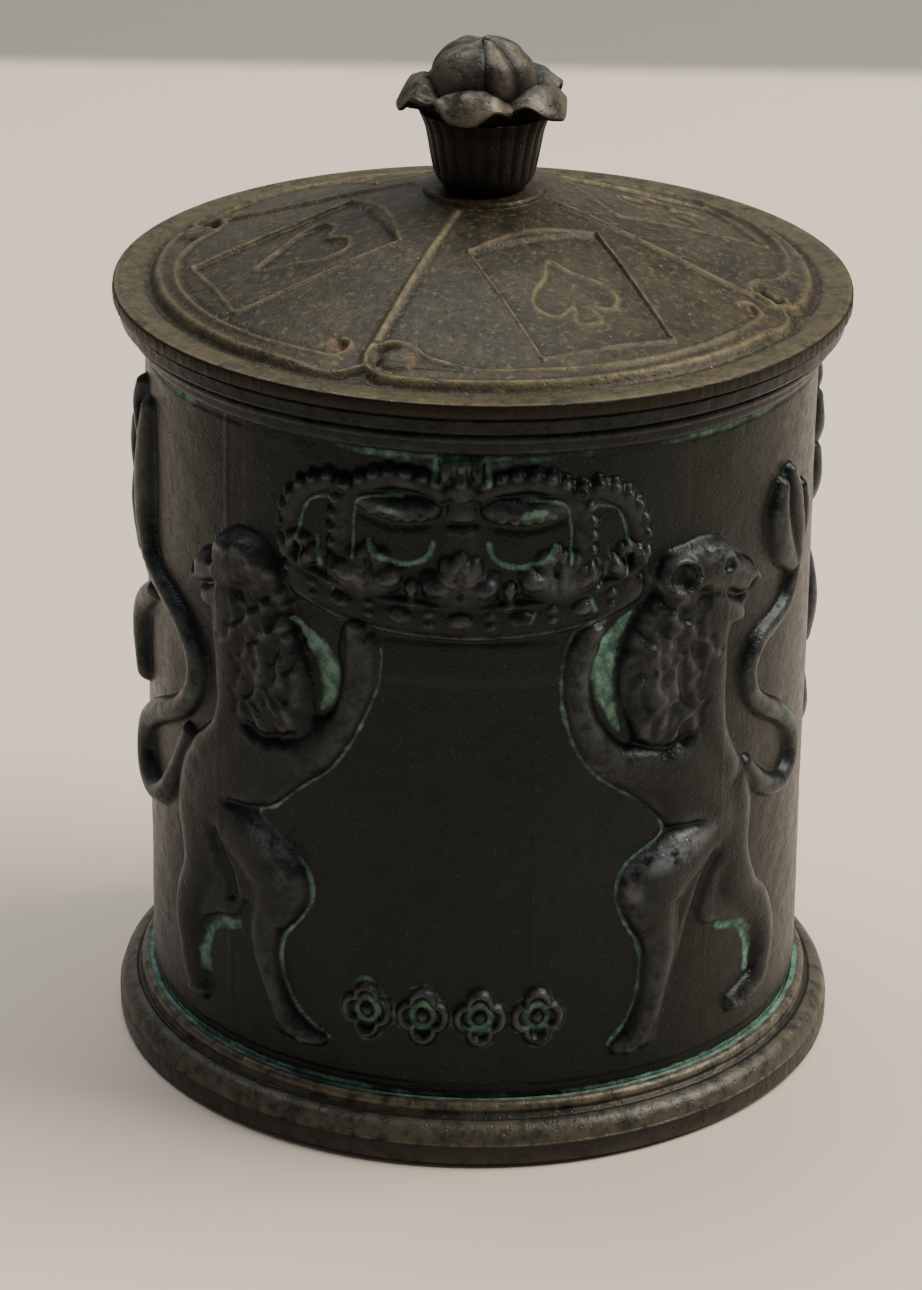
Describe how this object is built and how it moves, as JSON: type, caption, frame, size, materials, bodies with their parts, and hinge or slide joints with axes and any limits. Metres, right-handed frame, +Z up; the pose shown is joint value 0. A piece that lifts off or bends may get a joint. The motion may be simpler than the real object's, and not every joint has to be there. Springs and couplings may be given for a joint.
{
  "type": "inkwell",
  "caption": "Round cast inkwell with relief animals and a crown on its wall, a domed lift-off lid with a bud knob, and a hanging ink pot with a dipping funnel.",
  "frame": {"origin": "centre of the underside, on the surface that the inkwell stands on", "axes": "+Z up along the case's axis; the front of the case, with the row of rosettes, faces -Y"},
  "size_m": [0.0812, 0.0812, 0.114],
  "materials": {
    "case_bronze": "dark brown-black patinated cast bronze, soft gloss, verdigris in the recesses",
    "foot_bronze": "dark patinated bronze, turned and filed, worn edges",
    "lid_bronze": "dull olive-brown patinated bronze with worn highlights",
    "knob_bronze": "dark brown-black patinated cast bronze",
    "screw_steel": "dulled steel",
    "felt": "dark green wool felt",
    "cork": "natural cork",
    "glaze": "cream glazed stoneware",
    "leather": "brown leather"
  },
  "bodies": {
    "case": {"wall_casting": "case_bronze", "rim_collar": "case_bronze", "foot": "foot_bronze", "foot_screws": "screw_steel", "felt_pad": "felt", "front_crown": "case_bronze", "front_lion_left": "case_bronze", "front_lion_right": "case_bronze", "front_rosettes": "case_bronze", "back_crown": "case_bronze", "back_lion_left": "case_bronze", "back_lion_right": "case_bronze", "pot_gasket": "cork"},
    "pot": {"ink_pot": "glaze"},
    "funnel": {"dip_funnel": "glaze"},
    "seal": {"lid_seal": "leather"},
    "lid": {"lid": "lid_bronze", "lid_locating_ring": "lid_bronze", "lid_ribs": "lid_bronze", "lid_cards": "lid_bronze", "lid_scrolls": "lid_bronze", "knob_cup": "knob_bronze", "knob_petals": "knob_bronze", "knob_bud": "knob_bronze", "knob_stud": "screw_steel", "knob_washer": "screw_steel", "knob_nut": "screw_steel"}
  },
  "joints": [
    {"name": "lid_turn", "type": "hinge", "parent": "case", "child": "seal", "pos_m": [0, 0, 0.0854], "axis": [0, 0, 1], "continuous": true},
    {"name": "lid_lift", "type": "slide", "parent": "seal", "child": "lid", "axis": [0, 0, 1], "range_m": [0, 0.13]},
    {"name": "pot_lift", "type": "slide", "parent": "case", "child": "pot", "axis": [0, 0, 1], "range_m": [0, 0.065]},
    {"name": "funnel_lift", "type": "slide", "parent": "case", "child": "funnel", "axis": [0, 0, 1], "range_m": [0, 0.104]}
  ],
  "couplings": [
    {"joint": "pot_lift", "follows": "lid_lift", "ratio": 0.5},
    {"joint": "funnel_lift", "follows": "lid_lift", "ratio": 0.8}
  ]
}
